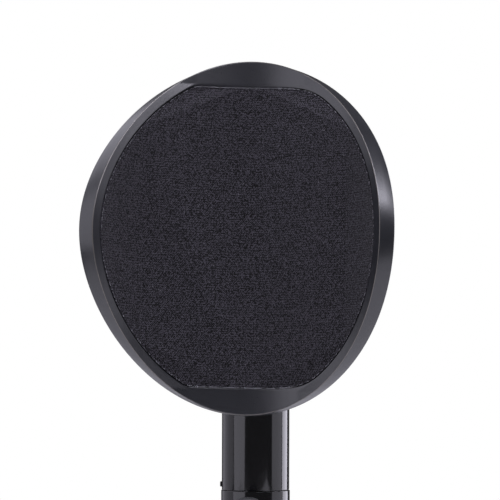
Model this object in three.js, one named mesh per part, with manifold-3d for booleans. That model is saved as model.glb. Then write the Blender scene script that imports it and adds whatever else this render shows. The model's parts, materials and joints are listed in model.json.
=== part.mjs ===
// Microphone isolation shield: a round panel bent into a trough, faced with cloth-covered foam, on a tilting
// and swivelling head at the top of a round post. The post slides in a barrel that screws onto a stand.
// Millimetres. +Z is up, the hollow of the shield faces -Y, and the origin is on the post's axis at the mouth
// of the stand socket.

import * as THREE from 'three';
import { mergeVertices } from 'three/addons/utils/BufferGeometryUtils.js';
import Module from 'manifold-3d';

const wasm = await Module();
wasm.setup();

// ---------------------------------------------------------------- driving dimensions

const GAP = 0.3; // clearance between neighbouring pieces

// Shield
const CURVE_RADIUS = 76; // front edge, about an upright axis in front of it
const SHIELD_HALF_WIDTH = 72; // front edge, seen from the front
const SHIELD_HALF_HEIGHT = 90.7;
const REST_TILT = 5; // degrees that the top leans back
const RIM_WIDTH = 5.6; // frame's front face at the sides of the pad
const RIM_RISE = 1.4; // how far that face slopes up from the edge to the pad
const RIM_LIP = 0.8; // level strip of it, next to the pad
const PAD_CHORD_INSET = 13.4; // from the top and bottom of the shield to the pad's straight edges
const PAD_CORNER = 6; // how softly those straight edges turn into the curved sides
const CLOTH_RECESS = 0.2;
const CLOTH = 0.5;
const FOAM = 3.4;
const PLATE = 0.8;
const FELT = 0.8;
const SHELL_WALL = 2;
const FRAME_WALL = 3; // outer wall of the frame, along the surface
const LAND_WIDTH = 6; // land behind the pad that the rear shell is screwed to
const PLATE_HOLE_RADIUS = 6;
const PLATE_HOLE_PITCH = 26;
const SLOT_LENGTH = 28; // slots of the rear shell
const SLOT_HEIGHT = 3;
const SLOT_PITCH = 9;
const SLOTS_PER_SIDE = 6;
const SHELL_SCREWS = 8;

// Tilt bracket, on the shield's back, and the pivot
const BACK_GAP = 7.5; // from the shield's back to the surface of the post
const BRACKET_PLATE = 2.5;
const BRACKET_HALF_WIDTH = 22;
const BRACKET_HALF_HEIGHT = 20;
const BRACKET_SCREW_X = 16.4;
const BRACKET_SCREW_Z = 14;
const BOSS_MARGIN = 3; // flat boss of the shell, past the bracket
const BOSS_RISE = 0.3; // of the boss above the back of the shell
const EAR_THICKNESS = 2.5;
const EAR_RADIUS = 10;
const TONGUE_HALF_THICKNESS = 8;
const TONGUE_RADIUS = 11;
const PIVOT_BOLT_RADIUS = 3;
const WASHER_THICKNESS = 1;
const WASHER_RADIUS = 8.5;
const TILT_KNOB_RADIUS = 14;
const TILT_KNOB_LENGTH = 15;

// Swivel head, on the post's top
const HEAD_HEIGHT = 15.1; // round part of the head
const HEAD_TO_BRACKET = 3; // upright room under the bracket's plate
const SPIGOT_RADIUS = 9;
const SPIGOT_LENGTH = 13;
const GROOVE_DEPTH = 1.5;
const GROOVE_HALF_HEIGHT = 3.5;
const LOCK_SCREW_RADIUS = 2.5;
const LOCK_PAD_LENGTH = 2;
const LOCK_KNOB_RADIUS = 7;
const LOCK_KNOB_LENGTH = 10;

// Post
const POST_DIAMETER = 35;
const POST_WALL = 1.5;
const POST_LENGTH = 84.5;
const POST_FLANGE = 3; // of the plug that closes the post's top
const PLUG_DEPTH = 14;
const GUIDE_RING = 3; // between the post and its inner guide tube
const GUIDE_RING_LENGTH = 12;
const GUIDE_TUBE_WALL = 1.5;
const GUIDE_IN_POST = 40;
const GUIDE_BUSH_LENGTH = 4;
const GUIDE_SCREW_RISE = 2.6; // of the screw's axis above the post's bottom

// Stand barrel
const BARREL_TOP = 112.2;
const BARREL_STEP = 0.3; // how much wider than the post
const BARREL_WALL = 2.2;
const BASE_FLANGE = 6;
const BASE_PLUG = 22;
const SOCKET_RADIUS = 7.94; // 5/8 inch stand thread
const INSERT_WALL = 2.6;
const INSERT_LENGTH = 20;
const TOP_BUSH_LENGTH = 16;

// Post clamp
const KNOB_BELOW_TOP = 27.7; // from the barrel's top down to the knob's axis
const KNOB_RADIUS = 26;
const KNOB_LENGTH = 14;
const KNOB_SCALLOPS = 8;
const KNOB_CAP_RADIUS = 10;
const KNOB_CAP = 1.6;
const BOSS_RADIUS = 10;
const BOSS_LENGTH = 8.2; // out from the barrel's surface
const STUD_RADIUS = 4;
const SHOE_LENGTH = 3;

// Facets round a full turn
const WIDE_SIDES = 36;
const SMALL_SIDES = 20;
const TINY_SIDES = 8;
const PANEL_COLUMNS = 40;

// ---------------------------------------------------------------- sizes that follow from them

// Radii of the shield's layers about the axis of its curve, from the front face to the back.
const frontRadius = CURVE_RADIUS;
const lipRadius = frontRadius - RIM_RISE;
const clothFront = lipRadius + CLOTH_RECESS;
const foamFront = clothFront + CLOTH + GAP;
const pocketFloor = foamFront + FOAM + GAP;
const plateFront = pocketFloor + GAP;
const feltFront = plateFront + PLATE + GAP;
const shellFront = feltFront + FELT + GAP;
const backRadius = shellFront + SHELL_WALL;

// Places on the post's axis, going up.
const postRadius = POST_DIAMETER / 2;
const barrelRadius = postRadius + BARREL_STEP;
const barrelBore = barrelRadius - BARREL_WALL;
const postBore = postRadius - POST_WALL;
const guideRadius = postBore - GUIDE_RING;
const postBottom = BARREL_TOP + GAP;
const postTop = postBottom + POST_LENGTH;
const flangeTop = postTop + GAP + POST_FLANGE;
const swivelWasherBottom = flangeTop + GAP;
const headBottom = swivelWasherBottom + WASHER_THICKNESS + GAP;
const headTop = headBottom + HEAD_HEIGHT;
const pivotHeight = headTop + HEAD_TO_BRACKET + BRACKET_HALF_HEIGHT;

// The shield's own frame has its origin on the pivot, so it can be tilted as one group.
const curveAxisY = -(postRadius + BACK_GAP + backRadius);
const bossFaceY = curveAxisY + backRadius + BOSS_RISE;
const bracketFrontY = bossFaceY + GAP;
const bracketBackY = bracketFrontY + BRACKET_PLATE;
const earInnerX = TONGUE_HALF_THICKNESS + GAP + WASHER_THICKNESS + GAP;
const earOuterX = earInnerX + EAR_THICKNESS;

// ---------------------------------------------------------------- materials

function finish(color, roughness, metalness = 0) {
  return new THREE.MeshStandardMaterial({ color, roughness, metalness });
}

const satinPlastic = finish(0x222327, 0.42);
const glossPaint = finish(0x101012, 0.15);
const grippyPlastic = finish(0x1b1b1d, 0.6);
const cloth = finish(0x2e2c31, 0.95);
const foam = finish(0x39393b, 0.98);
const felt = finish(0x55565a, 1);
const steel = finish(0x9a9b9d, 0.35, 1);
const blackSteel = finish(0x242426, 0.45, 0.8);
const brass = finish(0xb08d4c, 0.35, 1);
const nylon = finish(0xd9d6cc, 0.55);

// ---------------------------------------------------------------- making solids

const radians = THREE.MathUtils.degToRad;

// A geometry as a solid that can be cut and joined.
function solid(geometry) {
  const bare = geometry.clone();
  bare.deleteAttribute('normal');
  bare.deleteAttribute('uv');
  const merged = mergeVertices(bare, 1e-4);
  return new wasm.Manifold(new wasm.Mesh({
    numProp: 3,
    vertProperties: merged.attributes.position.array,
    triVerts: new Uint32Array(merged.index.array),
  }));
}

// A solid as a geometry that a mesh can hold.
function surface(made) {
  const { vertProperties, triVerts } = made.getMesh();
  const geometry = new THREE.BufferGeometry();
  geometry.setAttribute('position', new THREE.BufferAttribute(vertProperties, 3));
  geometry.setIndex(new THREE.BufferAttribute(triVerts, 1));
  geometry.computeVertexNormals();
  return geometry;
}

function joined(...geometries) {
  return surface(geometries.map(solid).reduce((all, next) => all.add(next)));
}

function cut(geometry, ...tools) {
  return surface(tools.map(solid).reduce((left, tool) => left.subtract(tool), solid(geometry)));
}

// A mesh with its name, its geometry, its material and, in a group that isn't turned, its place.
function piece(name, geometry, material, x = 0, y = 0, z = 0) {
  const mesh = new THREE.Mesh(geometry, material);
  mesh.name = name;
  mesh.position.set(x, y, z);
  return mesh;
}

function group(...members) {
  const made = new THREE.Group();
  made.add(...members);
  return made;
}

// A body turned round Z. The profile is a list of [radius, height]: it starts and ends on the axis, going up.
function turned(profile, sides = SMALL_SIDES) {
  const points = profile.map(([radius, height]) => new THREE.Vector2(radius, height));
  return new THREE.LatheGeometry(points, sides).rotateX(Math.PI / 2);
}

// A round rod along Z.
function rod(radius, bottom, top, sides = SMALL_SIDES) {
  return turned([[0, bottom], [radius, bottom], [radius, top], [0, top]], sides);
}

// A ring or tube along Z.
function ring(inner, outer, bottom, top, sides = SMALL_SIDES) {
  const corners = [[inner, bottom], [outer, bottom], [outer, top], [inner, top], [inner, bottom]];
  return turned(corners, sides);
}

function block(x0, x1, y0, y1, z0, z1) {
  return new THREE.BoxGeometry(x1 - x0, y1 - y0, z1 - z0)
    .translate((x0 + x1) / 2, (y0 + y1) / 2, (z0 + z1) / 2);
}

// Geometries made along Z, turned to lie along another direction.
const toFront = (geometry) => geometry.rotateX(Math.PI / 2); // +Z becomes -Y
const toBack = (geometry) => geometry.rotateX(-Math.PI / 2); // +Z becomes +Y
const toRight = (geometry) => geometry.rotateY(Math.PI / 2); // +Z becomes +X

// A turned knob with round scallops cut in its rim, a land between two of them at the top.
function scalloped(geometry, radius, count, depth, length) {
  const scallopRadius = depth * 2.2;
  const scallops = Array.from({ length: count }, (_, i) => {
    const angle = (i + 0.5) * 2 * Math.PI / count + Math.PI / 2;
    const reach = radius + scallopRadius - depth;
    return rod(scallopRadius, -GAP, length + GAP, TINY_SIDES)
      .translate(reach * Math.cos(angle), reach * Math.sin(angle), 0);
  });
  return cut(geometry, ...scallops);
}

// A screw along Z, its head's seat at height 0 and its shank below, with a round socket in its head.
function screw({ head, headHeight, shank, length }) {
  const socket = head * 0.45;
  const socketFloor = headHeight * 0.45;
  return turned([
    [0, -length], [shank, -length], [shank, 0], [head, 0], [head, headHeight * 0.6],
    [head * 0.85, headHeight], [socket, headHeight], [socket, socketFloor], [0, socketFloor],
  ], TINY_SIDES);
}

// The same screw with a straight slot across its head.
function slottedScrew({ head, headHeight, shank, length, slotWidth }) {
  const body = turned([
    [0, -length], [shank, -length], [shank, 0], [head, 0], [head, headHeight], [0, headHeight],
  ], TINY_SIDES);
  return cut(body, block(-head * 2, head * 2, -slotWidth / 2, slotWidth / 2, headHeight / 2, headHeight * 2));
}

// ---------------------------------------------------------------- bent plates of the shield

// Half of the shield's width measured along its front face.
const flatHalfWidth = CURVE_RADIUS * Math.asin(SHIELD_HALF_WIDTH / CURVE_RADIUS);
const TIP_ANGLE = radians(3); // the outline ends in short upright edges at its left and right

// The outline that is `inset` inside the shield's edge, as it is seen from the front.
function outlineAxes(inset) {
  return {
    halfWidth: CURVE_RADIUS * Math.sin((flatHalfWidth - inset) / CURVE_RADIUS),
    halfHeight: SHIELD_HALF_HEIGHT - inset,
  };
}

// The smaller of two values, turning softly from one to the other.
function softMin(a, b, softness) {
  const blend = Math.max(softness - Math.abs(a - b), 0) / softness;
  return Math.min(a, b) - blend * blend * softness / 4;
}

// A solid bent round the curve's axis, made of layers from the front to the back. Each layer is an oval
// `inset` from the shield's edge, at its own radius, cut straight at `chord` above and below the middle.
function bentLayers(layers) {
  const geometry = new THREE.BoxGeometry(2, layers.length - 1, 2, PANEL_COLUMNS, layers.length - 1, 1);
  const position = geometry.attributes.position;
  for (let i = 0; i < position.count; i++) {
    const { inset, radius, chord } = layers[Math.round(position.getY(i) + (layers.length - 1) / 2)];
    const { halfWidth, halfHeight } = outlineAxes(inset);
    const across = position.getX(i) * (Math.PI / 2 - TIP_ANGLE);
    const angle = Math.asin(halfWidth * Math.sin(across) / CURVE_RADIUS);
    const oval = halfHeight * Math.cos(across);
    const top = chord < Infinity ? softMin(oval, chord, PAD_CORNER) : oval;
    position.setXYZ(i, radius * Math.sin(angle), curveAxisY + radius * Math.cos(angle),
      position.getZ(i) * top);
  }
  return geometry;
}

function bentPlate(inset, front, back, chord = Infinity) {
  return bentLayers([{ inset, radius: front, chord }, { inset, radius: back, chord }]);
}

// A small block bent the same way, `length` along the surface and `height` tall, centred at `along` and `z`.
function bentBlock(along, length, z, height, front, back, columns = 4) {
  const geometry = new THREE.BoxGeometry(2, 2, 2, columns, 1, 1);
  const position = geometry.attributes.position;
  for (let i = 0; i < position.count; i++) {
    const angle = (along + position.getX(i) * length / 2) / CURVE_RADIUS;
    const radius = position.getY(i) > 0 ? back : front;
    position.setXYZ(i, radius * Math.sin(angle), curveAxisY + radius * Math.cos(angle),
      z + position.getZ(i) * height / 2);
  }
  return geometry;
}

// Turns a geometry made along Z so that it points straight out of the shield's back at `along`, `z`.
function radially(geometry, along, z) {
  return toBack(geometry)
    .rotateZ(-along / CURVE_RADIUS)
    .translate(0, curveAxisY, z);
}

// Places of the screws that hold the rear shell, on the middle of the frame's land.
const landAxes = outlineAxes(FRAME_WALL + LAND_WIDTH / 2);
const shellScrewPlaces = Array.from({ length: SHELL_SCREWS }, (_, i) => {
  const turn = (i + 0.5) * 2 * Math.PI / SHELL_SCREWS;
  const along = CURVE_RADIUS * Math.asin(landAxes.halfWidth * Math.sin(turn) / CURVE_RADIUS);
  return { along, z: landAxes.halfHeight * Math.cos(turn) };
});
const shellScrew = { head: 2.3, headHeight: 1.2, shank: 1.2, length: 2.6 };
const shellScrewSeat = backRadius - shellScrew.headHeight;

// Places of the screws that hold the bracket.
const bracketScrewPlaces = [[-1, -1], [1, -1], [-1, 1], [1, 1]]
  .map(([sx, sz]) => [sx * BRACKET_SCREW_X, sz * BRACKET_SCREW_Z]);
const bracketScrew = { head: 3.4, headHeight: 2.2, shank: 1.7, length: 6 };

const padChord = SHIELD_HALF_HEIGHT - PAD_CHORD_INSET;

// Its front face slopes up from the oval edge to a lip round the pad.
function frontFrame() {
  const body = bentLayers([
    { inset: RIM_WIDTH - RIM_LIP, radius: lipRadius, chord: padChord + RIM_LIP },
    { inset: 0, radius: frontRadius, chord: Infinity },
    { inset: 0, radius: backRadius, chord: Infinity },
  ]);
  const pilotHoles = shellScrewPlaces.map(({ along, z }) =>
    radially(rod(shellScrew.shank + GAP, shellScrewSeat - shellScrew.length - GAP, backRadius,
      TINY_SIDES), along, z));
  return cut(
    body,
    bentPlate(RIM_WIDTH, lipRadius - 1, pocketFloor, padChord),
    bentPlate(FRAME_WALL + LAND_WIDTH, pocketFloor - GAP, backRadius),
    bentPlate(FRAME_WALL, shellFront - GAP, backRadius + 1),
    ...pilotHoles,
  );
}

function padLayer(front, thickness) {
  return bentPlate(RIM_WIDTH + GAP, front, front + thickness, padChord - GAP);
}

function innerLayer(front, thickness) {
  return bentPlate(FRAME_WALL + LAND_WIDTH + GAP, front, front + thickness);
}

// Round holes in staggered rows, all clear of the plate's edge.
function perforatedPlate() {
  const edge = outlineAxes(FRAME_WALL + LAND_WIDTH + GAP + 2 * PLATE_HOLE_RADIUS);
  const rowPitch = PLATE_HOLE_PITCH * Math.sin(Math.PI / 3);
  const rows = Math.floor(edge.halfHeight / rowPitch);
  const holes = [];
  for (let row = -rows; row <= rows; row++) {
    const z = row * rowPitch;
    const room = edge.halfWidth * Math.sqrt(1 - (z / edge.halfHeight) ** 2);
    const reach = CURVE_RADIUS * Math.asin(room / CURVE_RADIUS);
    const shift = row % 2 === 0 ? 0 : PLATE_HOLE_PITCH / 2;
    for (let along = shift; along <= reach; along += PLATE_HOLE_PITCH) {
      const places = along === 0 ? [0] : [-along, along];
      places.forEach((place) => holes.push(radially(
        rod(PLATE_HOLE_RADIUS, plateFront - 1, plateFront + PLATE + 1, TINY_SIDES), place, z)));
    }
  }
  return cut(innerLayer(plateFront, PLATE), ...holes);
}

// The rear shell: a bent cover with a flat boss for the bracket, slots at both sides and sunk screw holes.
function rearShell() {
  const bossHalfWidth = BRACKET_HALF_WIDTH + BOSS_MARGIN;
  const bossHalfHeight = BRACKET_HALF_HEIGHT + BOSS_MARGIN;
  const sidesBack = Math.sqrt(backRadius ** 2 - bossHalfWidth ** 2) - 1;
  const boss = cut(
    block(-bossHalfWidth, bossHalfWidth, curveAxisY + sidesBack, bossFaceY, -bossHalfHeight, bossHalfHeight),
    rod(backRadius - SHELL_WALL / 2, -bossHalfHeight - 1, bossHalfHeight + 1, WIDE_SIDES * 2)
      .translate(0, curveAxisY, 0),
  );
  const sunkHoles = shellScrewPlaces.flatMap(({ along, z }) => [
    radially(rod(shellScrew.shank + GAP, shellFront - 1, backRadius + 1, TINY_SIDES), along, z),
    radially(rod(shellScrew.head + GAP, shellScrewSeat - GAP, backRadius + 1, TINY_SIDES), along, z),
  ]);
  const bracketHoles = bracketScrewPlaces.map(([x, z]) =>
    toBack(rod(bracketScrew.shank + GAP, bossFaceY - 8, bossFaceY + 1, TINY_SIDES)).translate(x, 0, z));
  const slotStart = bossHalfWidth + 6;
  const slots = [-1, 1].flatMap((side) => Array.from({ length: SLOTS_PER_SIDE }, (_, i) =>
    bentBlock(side * (slotStart + SLOT_LENGTH / 2), SLOT_LENGTH,
      (i - (SLOTS_PER_SIDE - 1) / 2) * SLOT_PITCH, SLOT_HEIGHT, shellFront - 1, backRadius + 1)));
  const cover = joined(bentPlate(FRAME_WALL + GAP, shellFront, backRadius), boss);
  return cut(cover, ...sunkHoles, ...bracketHoles, ...slots);
}

// ---------------------------------------------------------------- tilt bracket and its pivot

const pivotHole = PIVOT_BOLT_RADIUS + GAP;

// One upright ear: a plate that narrows from the bracket's base to a round end about the pivot.
function ear(innerX) {
  const baseHalf = BRACKET_HALF_HEIGHT * 0.6;
  const outline = new THREE.Shape();
  outline.moveTo(bracketBackY - BRACKET_PLATE / 2, -baseHalf);
  outline.lineTo(0, -EAR_RADIUS);
  outline.absarc(0, 0, EAR_RADIUS, -Math.PI / 2, Math.PI / 2, false);
  outline.lineTo(bracketBackY - BRACKET_PLATE / 2, baseHalf);
  outline.closePath();
  return new THREE.ExtrudeGeometry(outline, { depth: EAR_THICKNESS, bevelEnabled: false, curveSegments: 12 })
    .rotateX(Math.PI / 2)
    .rotateZ(Math.PI / 2)
    .translate(innerX, 0, 0);
}

function tiltBracket() {
  const base = block(-BRACKET_HALF_WIDTH, BRACKET_HALF_WIDTH, bracketFrontY, bracketBackY,
    -BRACKET_HALF_HEIGHT, BRACKET_HALF_HEIGHT);
  const holes = bracketScrewPlaces.map(([x, z]) =>
    toBack(rod(bracketScrew.shank + GAP, bracketFrontY - 1, bracketBackY + 1, TINY_SIDES))
      .translate(x, 0, z));
  return cut(
    joined(base, ear(earInnerX), ear(-earOuterX)),
    toRight(rod(pivotHole, -earOuterX - 1, earOuterX + 1)),
    ...holes,
  );
}

const thrustWasherX = earOuterX + GAP;
const tiltKnobX = thrustWasherX + WASHER_THICKNESS + GAP;

function pivotBolt() {
  const headX = -earOuterX - GAP;
  return toRight(turned([
    [0, headX - 4], [5, headX - 4], [6, headX - 3], [6, headX], [PIVOT_BOLT_RADIUS, headX],
    [PIVOT_BOLT_RADIUS, tiltKnobX + TILT_KNOB_LENGTH - 5], [0, tiltKnobX + TILT_KNOB_LENGTH - 5],
  ]));
}

function tiltKnob() {
  const hub = 8.5;
  const body = turned([
    [pivotHole, 0], [hub, 0], [hub, 3], [TILT_KNOB_RADIUS - 1, 4], [TILT_KNOB_RADIUS, 5],
    [TILT_KNOB_RADIUS, TILT_KNOB_LENGTH - 2], [TILT_KNOB_RADIUS - 2, TILT_KNOB_LENGTH],
    [0, TILT_KNOB_LENGTH], [0, TILT_KNOB_LENGTH - 4], [pivotHole, TILT_KNOB_LENGTH - 4], [pivotHole, 0],
  ]);
  return toRight(scalloped(body, TILT_KNOB_RADIUS, 6, 2, TILT_KNOB_LENGTH));
}

// ---------------------------------------------------------------- swivel head

const grooveHeight = headBottom + HEAD_HEIGHT / 2 - 1;
const lockPadInner = SPIGOT_RADIUS - GROOVE_DEPTH + GAP;
const lockScrewInner = lockPadInner + LOCK_PAD_LENGTH + GAP;
const lockKnobY = postRadius + GAP;

function swivelHead() {
  const tongue = new THREE.Shape();
  const tongueFoot = headTop - 1 - pivotHeight;
  tongue.moveTo(-TONGUE_RADIUS, tongueFoot);
  tongue.lineTo(TONGUE_RADIUS, tongueFoot);
  tongue.lineTo(TONGUE_RADIUS, 0);
  tongue.absarc(0, 0, TONGUE_RADIUS, 0, Math.PI, false);
  tongue.closePath();
  const upright = new THREE.ExtrudeGeometry(tongue, {
    depth: 2 * TONGUE_HALF_THICKNESS, bevelEnabled: false, curveSegments: 12,
  })
    .rotateX(Math.PI / 2)
    .rotateZ(Math.PI / 2)
    .translate(-TONGUE_HALF_THICKNESS, 0, pivotHeight);
  const edge = 1;
  const drum = turned([
    [0, headBottom], [postRadius, headBottom], [postRadius, headTop - edge],
    [postRadius - edge, headTop], [0, headTop],
  ], WIDE_SIDES);
  return cut(
    joined(drum, upright),
    rod(SPIGOT_RADIUS + GAP, headBottom - 1, flangeTop + SPIGOT_LENGTH + GAP),
    toRight(rod(pivotHole, -TONGUE_HALF_THICKNESS - 1, TONGUE_HALF_THICKNESS + 1))
      .translate(0, 0, pivotHeight),
    toBack(rod(LOCK_SCREW_RADIUS + GAP, SPIGOT_RADIUS - 1, postRadius + 1, TINY_SIDES))
      .translate(0, 0, grooveHeight),
  );
}

function lockScrew() {
  const body = turned([
    [0, lockScrewInner], [LOCK_SCREW_RADIUS, lockScrewInner], [LOCK_SCREW_RADIUS, lockKnobY],
    [LOCK_KNOB_RADIUS, lockKnobY], [LOCK_KNOB_RADIUS, lockKnobY + LOCK_KNOB_LENGTH - 1],
    [LOCK_KNOB_RADIUS - 1, lockKnobY + LOCK_KNOB_LENGTH], [0, lockKnobY + LOCK_KNOB_LENGTH],
  ]);
  const shifted = body.translate(0, 0, -lockKnobY);
  const ribbed = scalloped(shifted, LOCK_KNOB_RADIUS, 10, 0.6, LOCK_KNOB_LENGTH);
  return toBack(ribbed.translate(0, 0, lockKnobY));
}

// ---------------------------------------------------------------- post

const guideScrew = { head: 1.5, headHeight: 0.9, shank: 0.9, length: 3.4, slotWidth: 0.7 };
const guideScrewHeight = postBottom + GUIDE_SCREW_RISE;
const guideBottom = BASE_FLANGE + BASE_PLUG + 4;
const guideTop = postBottom + GUIDE_IN_POST;

// Lies along -X, through the post's wall into the guide ring.
const guideScrewTurn = (geometry) => geometry.rotateY(-Math.PI / 2);

function postTube() {
  const chamfer = 0.4;
  const tube = turned([
    [postBore, postBottom], [postRadius - chamfer, postBottom], [postRadius, postBottom + chamfer],
    [postRadius, postTop], [postBore, postTop], [postBore, postBottom],
  ], WIDE_SIDES);
  return cut(tube, guideScrewTurn(rod(guideScrew.shank + GAP, postBore - 1, postRadius + 1, TINY_SIDES))
    .translate(0, 0, guideScrewHeight));
}

function guideRing() {
  return cut(
    ring(guideRadius + GAP, postBore - GAP, postBottom, postBottom + GUIDE_RING_LENGTH, WIDE_SIDES),
    guideScrewTurn(rod(guideScrew.shank + GAP, guideRadius, postRadius, TINY_SIDES))
      .translate(0, 0, guideScrewHeight),
  );
}

// Closes the post's top and carries the grooved spigot that the head turns on.
function postPlug() {
  const grooveRadius = SPIGOT_RADIUS - GROOVE_DEPTH;
  return turned([
    [0, postTop - PLUG_DEPTH], [postBore - GAP, postTop - PLUG_DEPTH], [postBore - GAP, postTop + GAP],
    [postRadius, postTop + GAP], [postRadius, flangeTop], [SPIGOT_RADIUS, flangeTop],
    [SPIGOT_RADIUS, grooveHeight - GROOVE_HALF_HEIGHT], [grooveRadius, grooveHeight - GROOVE_HALF_HEIGHT],
    [grooveRadius, grooveHeight + GROOVE_HALF_HEIGHT], [SPIGOT_RADIUS, grooveHeight + GROOVE_HALF_HEIGHT],
    [SPIGOT_RADIUS, flangeTop + SPIGOT_LENGTH], [0, flangeTop + SPIGOT_LENGTH],
  ], WIDE_SIDES);
}

// ---------------------------------------------------------------- stand barrel and post clamp

const knobHeight = BARREL_TOP - KNOB_BELOW_TOP;
const bossFront = barrelRadius + BOSS_LENGTH;
const knobBack = bossFront + GAP;
const shoeInner = guideRadius + GAP;
const studInner = shoeInner + SHOE_LENGTH + GAP;
const studOuter = knobBack + KNOB_LENGTH - 4;
const insertRadius = SOCKET_RADIUS + INSERT_WALL;

function standBarrel() {
  const tube = ring(barrelBore, barrelRadius, BASE_FLANGE + GAP, BARREL_TOP, WIDE_SIDES);
  const boss = toFront(rod(BOSS_RADIUS, barrelRadius - BARREL_WALL, bossFront))
    .translate(0, 0, knobHeight);
  const inside = rod(barrelBore, BASE_FLANGE, BARREL_TOP + 1, WIDE_SIDES);
  const studHole = toFront(rod(STUD_RADIUS + GAP, guideRadius, bossFront + 1)).translate(0, 0, knobHeight);
  return cut(joined(tube, boss), inside, studHole);
}

function barrelBase() {
  return cut(
    turned([
      [0, 0], [barrelRadius - 1, 0], [barrelRadius, 1], [barrelRadius, BASE_FLANGE],
      [barrelBore - GAP, BASE_FLANGE], [barrelBore - GAP, BASE_FLANGE + BASE_PLUG],
      [0, BASE_FLANGE + BASE_PLUG],
    ], WIDE_SIDES),
    rod(insertRadius + GAP, -1, INSERT_LENGTH + 2 * GAP),
  );
}

function clampKnob() {
  const hub = BOSS_RADIUS + 2;
  const round = 2;
  const front = KNOB_LENGTH;
  const body = turned([
    [STUD_RADIUS + GAP, 0], [hub, 0], [hub, 3], [KNOB_RADIUS - round, 4], [KNOB_RADIUS, 4 + round],
    [KNOB_RADIUS, front - round], [KNOB_RADIUS - round, front], [KNOB_CAP_RADIUS + GAP, front],
    [KNOB_CAP_RADIUS + GAP, front - KNOB_CAP - GAP], [0, front - KNOB_CAP - GAP],
    [0, studOuter - knobBack + GAP], [STUD_RADIUS + GAP, studOuter - knobBack + GAP],
    [STUD_RADIUS + GAP, 0],
  ], WIDE_SIDES);
  return toFront(scalloped(body, KNOB_RADIUS, KNOB_SCALLOPS, 2.4, KNOB_LENGTH));
}

function knobCap() {
  return toFront(turned([
    [0, 0], [KNOB_CAP_RADIUS, 0], [KNOB_CAP_RADIUS, KNOB_CAP - 0.5],
    [KNOB_CAP_RADIUS - 0.5, KNOB_CAP], [0, KNOB_CAP],
  ]));
}

// ---------------------------------------------------------------- the assembly

// Stays still on the stand.
const standHead = group(
  piece('barrel_base', barrelBase(), grippyPlastic),
  piece('thread_insert', ring(SOCKET_RADIUS, insertRadius, GAP, GAP + INSERT_LENGTH), brass),
  piece('stand_barrel', standBarrel(), glossPaint),
  piece('top_bush', ring(guideRadius + GAP, barrelBore - GAP, BARREL_TOP - TOP_BUSH_LENGTH, BARREL_TOP,
    WIDE_SIDES), nylon),
);

// Travels in and out as the clamp knob turns.
const clampScrew = group(
  piece('pressure_shoe', toFront(rod(STUD_RADIUS, shoeInner, shoeInner + SHOE_LENGTH)), nylon),
  piece('clamp_stud', toFront(rod(STUD_RADIUS, studInner, studOuter)), steel),
  piece('clamp_knob', clampKnob(), grippyPlastic, 0, -knobBack),
  piece('knob_cap', knobCap(), satinPlastic, 0, -(knobBack + KNOB_LENGTH - KNOB_CAP)),
);
clampScrew.position.z = knobHeight;

// Slides up out of the barrel.
const post = group(
  piece('post_tube', postTube(), glossPaint),
  piece('guide_ring', guideRing(), nylon),
  piece('guide_tube', ring(guideRadius - GUIDE_TUBE_WALL, guideRadius, guideBottom, guideTop, WIDE_SIDES),
    steel),
  piece('guide_bush', ring(guideRadius + GAP, barrelBore - GAP, guideBottom, guideBottom
    + GUIDE_BUSH_LENGTH, WIDE_SIDES), nylon),
  piece('guide_screw', guideScrewTurn(slottedScrew(guideScrew)), blackSteel, -postRadius, 0, guideScrewHeight),
  piece('post_plug', postPlug(), satinPlastic),
);

// Turns on the post's spigot.
const head = group(
  piece('swivel_head', swivelHead(), satinPlastic),
  piece('swivel_washer', ring(SPIGOT_RADIUS + GAP, postRadius - 1, swivelWasherBottom,
    swivelWasherBottom + WASHER_THICKNESS, WIDE_SIDES), nylon),
  piece('lock_pad', toBack(rod(LOCK_SCREW_RADIUS, lockPadInner, lockPadInner + LOCK_PAD_LENGTH,
    TINY_SIDES)), nylon, 0, 0, grooveHeight),
  piece('lock_screw', lockScrew(), grippyPlastic, 0, 0, grooveHeight),
);

// Tilts about the pivot. Everything in it is placed from the pivot's middle.
const washer = (x) => toRight(ring(pivotHole, WASHER_RADIUS, x, x + WASHER_THICKNESS));
const washerX = TONGUE_HALF_THICKNESS + GAP;
const shield = group(
  piece('front_frame', frontFrame(), satinPlastic),
  piece('cloth_face', padLayer(clothFront, CLOTH), cloth),
  piece('foam_pad', padLayer(foamFront, FOAM), foam),
  piece('perforated_plate', perforatedPlate(), steel),
  piece('felt_layer', innerLayer(feltFront, FELT), felt),
  piece('rear_shell', rearShell(), satinPlastic),
  piece('tilt_bracket', tiltBracket(), blackSteel),
  piece('pivot_bolt', pivotBolt(), steel),
  piece('friction_washer_left', washer(-washerX - WASHER_THICKNESS), nylon),
  piece('friction_washer_right', washer(washerX), nylon),
  piece('thrust_washer', washer(thrustWasherX), steel),
  piece('tilt_knob', tiltKnob(), grippyPlastic, tiltKnobX),
  ...shellScrewPlaces.map(({ along, z }, i) => piece(`shell_screw_${i + 1}`,
    radially(screw(shellScrew).translate(0, 0, shellScrewSeat), along, z), blackSteel)),
  ...bracketScrewPlaces.map(([x, z], i) => piece(`bracket_screw_${i + 1}`,
    toBack(screw(bracketScrew)), blackSteel, x, bracketBackY + GAP, z)),
);
shield.position.z = pivotHeight;
shield.rotation.x = -radians(REST_TILT);

export default group(standHead, clampScrew, post, head, shield);
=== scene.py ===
import json
import math
import random

import bmesh
import bpy
from mathutils import Matrix, Vector


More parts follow.
